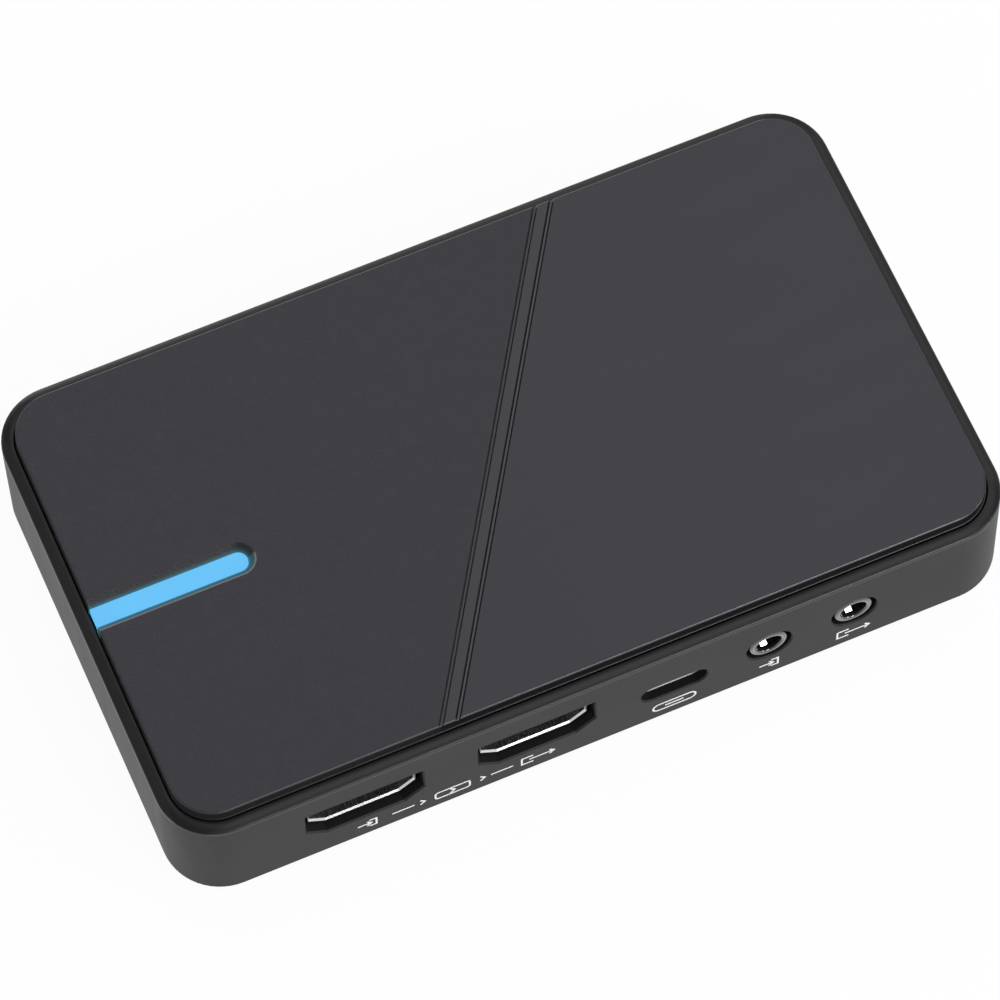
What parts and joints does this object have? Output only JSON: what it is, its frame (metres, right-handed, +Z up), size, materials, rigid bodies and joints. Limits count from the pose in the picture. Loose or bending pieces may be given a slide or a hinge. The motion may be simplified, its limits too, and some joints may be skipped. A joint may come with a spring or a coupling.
{
  "type": "video capture box",
  "caption": "Flat dark-grey box with a raised two-tone cover, slanted band and blue light bar; video, data and audio sockets along one long side.",
  "frame": {"origin": "middle of the footprint, on the plane the feet stand on", "axes": "+X to the right along the sockets side, sockets side faces -Y, +Z up"},
  "size_m": [0.117, 0.0684, 0.0199],
  "materials": {
    "housing_plastic": "fine matte moulded dark grey",
    "cover_plastic": "dark grey, finely textured left of the band and satin right of it",
    "light_diffuser": "milky diffuser, lit blue",
    "white_plastic": "white reflector",
    "lamp_resin": "clear lamp resin",
    "foot_rubber": "soft black",
    "screw_steel": "zinc plated",
    "board_laminate": "dark green solder mask",
    "socket_metal": "nickel plated",
    "socket_plastic": "black",
    "jack_plastic": "black",
    "contact_gold": "gold plated",
    "spring_metal": "silver plated",
    "chip_resin": "moulded black",
    "pad_silicone": "soft grey",
    "sink_aluminium": "extruded",
    "can_metal": "drawn can",
    "ferrite": "moulded",
    "capacitor_ceramic": "fired"
  },
  "bodies": {
    "case": {"housing": "housing_plastic", "top_cover": "cover_plastic", "light_bar": "light_diffuser", "light_shroud": "white_plastic", "status_lamps": "lamp_resin", "foot_front_left": "foot_rubber", "foot_front_right": "foot_rubber", "foot_back_left": "foot_rubber", "foot_back_right": "foot_rubber", "case_screws": "screw_steel", "main_board": "board_laminate", "video_in_shell": "socket_metal", "video_in_tongue": "socket_plastic", "video_in_contacts": "contact_gold", "video_out_shell": "socket_metal", "video_out_tongue": "socket_plastic", "video_out_contacts": "contact_gold", "data_shell": "socket_metal", "data_tongue": "socket_plastic", "data_contacts": "contact_gold", "audio_in_body": "jack_plastic", "audio_in_tails": "spring_metal", "audio_out_body": "jack_plastic", "audio_out_tails": "spring_metal", "capture_processor": "chip_resin", "thermal_pad": "pad_silicone", "heat_sink": "sink_aluminium", "memory_chips": "chip_resin", "flash_chip": "chip_resin", "video_receiver": "chip_resin", "video_repeater": "chip_resin", "data_bridge": "chip_resin", "audio_codec": "chip_resin", "crystals": "can_metal", "power_inductors": "ferrite", "can_capacitors": "can_metal", "chip_capacitors": "capacitor_ceramic"},
    "audio_in_outer_ring_spring": {"audio_in_outer_ring_leaf": "spring_metal"},
    "audio_in_inner_ring_spring": {"audio_in_inner_ring_leaf": "spring_metal"},
    "audio_in_tip_spring": {"audio_in_tip_leaf": "spring_metal"},
    "audio_in_sleeve_spring": {"audio_in_sleeve_leaf": "spring_metal"},
    "audio_out_outer_ring_spring": {"audio_out_outer_ring_leaf": "spring_metal"},
    "audio_out_inner_ring_spring": {"audio_out_inner_ring_leaf": "spring_metal"},
    "audio_out_tip_spring": {"audio_out_tip_leaf": "spring_metal"},
    "audio_out_sleeve_spring": {"audio_out_sleeve_leaf": "spring_metal"}
  },
  "joints": [
    {"name": "audio_in_outer_ring_flex", "type": "hinge", "parent": "case", "child": "audio_in_outer_ring_spring", "pos_m": [0.0259, -0.0303, 0.00925], "axis": [0, 0, -1], "range_deg": [0, 7.5], "stiffness_Nm_per_rad": 0.027},
    {"name": "audio_in_inner_ring_flex", "type": "hinge", "parent": "case", "child": "audio_in_inner_ring_spring", "pos_m": [0.0204, -0.0273, 0.00925], "axis": [0, 0, 1], "range_deg": [0, 7.5], "stiffness_Nm_per_rad": 0.027},
    {"name": "audio_in_tip_flex", "type": "hinge", "parent": "case", "child": "audio_in_tip_spring", "pos_m": [0.0259, -0.0244, 0.00925], "axis": [0, 0, -1], "range_deg": [0, 7.5], "stiffness_Nm_per_rad": 0.027},
    {"name": "audio_in_sleeve_flex", "type": "hinge", "parent": "case", "child": "audio_in_sleeve_spring", "pos_m": [0.0229, -0.02965, 0.00705], "axis": [1, 0, 0], "range_deg": [0, 7], "stiffness_Nm_per_rad": 0.027},
    {"name": "audio_out_outer_ring_flex", "type": "hinge", "parent": "case", "child": "audio_out_outer_ring_spring", "pos_m": [0.03795, -0.0303, 0.00925], "axis": [0, 0, -1], "range_deg": [0, 7.5], "stiffness_Nm_per_rad": 0.027},
    {"name": "audio_out_inner_ring_flex", "type": "hinge", "parent": "case", "child": "audio_out_inner_ring_spring", "pos_m": [0.03245, -0.0273, 0.00925], "axis": [0, 0, 1], "range_deg": [0, 7.5], "stiffness_Nm_per_rad": 0.027},
    {"name": "audio_out_tip_flex", "type": "hinge", "parent": "case", "child": "audio_out_tip_spring", "pos_m": [0.03795, -0.0244, 0.00925], "axis": [0, 0, -1], "range_deg": [0, 7.5], "stiffness_Nm_per_rad": 0.027},
    {"name": "audio_out_sleeve_flex", "type": "hinge", "parent": "case", "child": "audio_out_sleeve_spring", "pos_m": [0.03495, -0.02965, 0.00705], "axis": [1, 0, 0], "range_deg": [0, 7], "stiffness_Nm_per_rad": 0.027}
  ]
}
